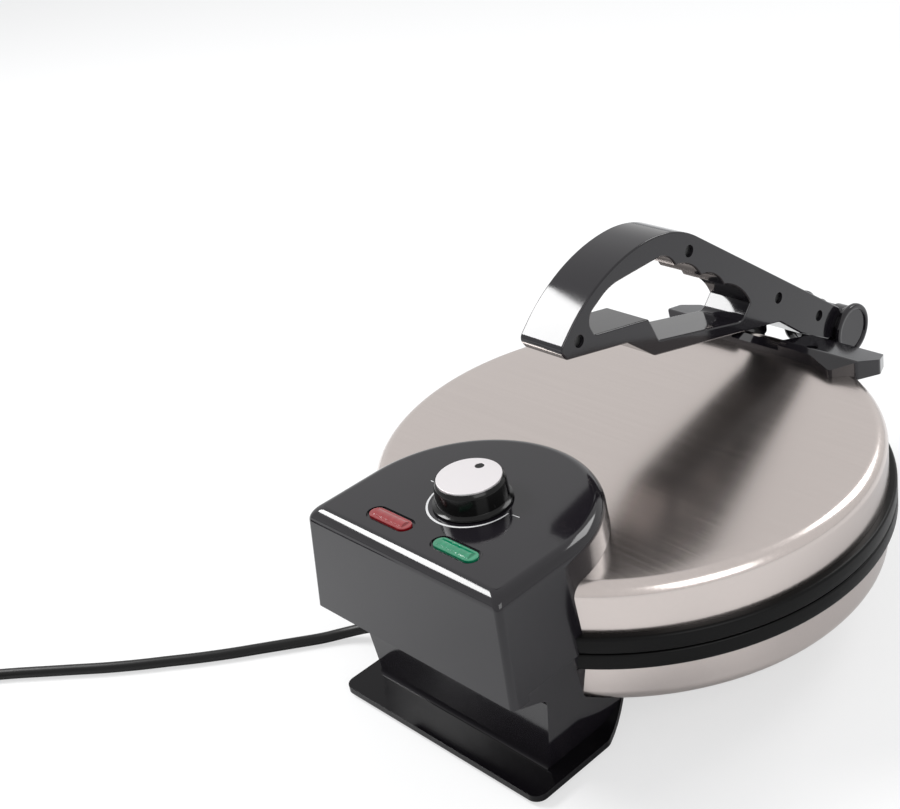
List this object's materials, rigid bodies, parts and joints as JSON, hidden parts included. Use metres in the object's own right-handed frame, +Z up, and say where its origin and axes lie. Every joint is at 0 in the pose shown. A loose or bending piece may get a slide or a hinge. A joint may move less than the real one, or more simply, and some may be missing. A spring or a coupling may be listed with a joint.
{
  "type": "electric roti maker",
  "caption": "Round flatbread press with a hinged steel lid, a control housing with a knob and lamps, a pressing lever and a mains cord.",
  "frame": {"origin": "on the table, below the centre of the box round the object without its cord", "axes": "+Z up, -Y towards the user and the control housing, +X to the user's right; the lid's hinge is at +Y"},
  "size_m": [0.4725, 0.5736, 0.203],
  "materials": {
    "brushed_steel": "brushed, warm grey",
    "black_band": "satin black",
    "coated_plate": "dark non-stick coating",
    "heater_metal": "heater sheath",
    "shield_sheet": "plain sheet",
    "screw_steel": "zinc plated",
    "gloss_black": "glossy black",
    "knob_black": "black",
    "rubber_black": "matt",
    "cord_black": "smooth black",
    "pin_metal": "plated",
    "ivory_plastic": "moulded",
    "thermostat_metal": "metal and ceramic",
    "red_lens": "translucent red",
    "green_lens": "translucent green",
    "neon_glass": "lamp bulb",
    "knob_silver": "spun silver"
  },
  "bodies": {
    "base": {"base_pan": "brushed_steel", "base_band": "black_band", "lower_plate": "coated_plate", "lower_heater": "heater_metal", "lower_shield": "shield_sheet", "lower_nut": "screw_steel", "front_leg": "gloss_black", "foot_plate": "gloss_black", "front_feet": "rubber_black", "rear_leg": "gloss_black", "rear_feet": "rubber_black", "leg_screws": "screw_steel", "pan_screws": "screw_steel", "hinge_pin": "screw_steel", "terminal_block": "ivory_plastic", "thermal_fuse": "ivory_plastic", "strain_relief": "cord_black", "power_cord": "cord_black", "cord_coil": "cord_black", "plug_body": "cord_black", "plug_pins": "pin_metal"},
    "lid": {"lid_shell": "brushed_steel", "lid_band": "black_band", "upper_plate": "coated_plate", "upper_heater": "heater_metal", "upper_shield": "shield_sheet", "upper_nut": "screw_steel", "control_housing": "gloss_black", "housing_cover": "gloss_black", "thermostat": "thermostat_metal", "red_lens": "red_lens", "green_lens": "green_lens", "neon_lamps": "neon_glass", "lid_bracket": "gloss_black", "bracket_screws": "screw_steel"},
    "knob": {"knob_body": "knob_black", "knob_cap": "knob_silver", "knob_shaft": "screw_steel"},
    "link": {"press_link": "gloss_black"},
    "lever": {"lever_left": "gloss_black", "lever_right": "gloss_black", "lever_screws": "screw_steel", "lever_axle": "screw_steel", "axle_caps": "gloss_black"}
  },
  "joints": [
    {"name": "lid_hinge", "type": "hinge", "parent": "base", "child": "lid", "pos_m": [0, 0.12625, 0.055], "axis": [-1, 0, 0], "range_deg": [0, 85]},
    {"name": "link_hinge", "type": "hinge", "parent": "base", "child": "link", "pos_m": [0, 0.12625, 0.055], "axis": [-1, 0, 0], "range_deg": [0, 85]},
    {"name": "lever_pivot", "type": "hinge", "parent": "link", "child": "lever", "pos_m": [0, 0.16075, 0.084], "axis": [-1, 0, 0], "range_deg": [-7.5, 45]},
    {"name": "knob_turn", "type": "hinge", "parent": "lid", "child": "knob", "pos_m": [0, -0.12325, 0.12], "axis": [0, 0, -1], "range_deg": [-135, 135]}
  ],
  "couplings": [
    {"joint": "link_hinge", "follows": "lid_hinge", "ratio": 1}
  ]
}
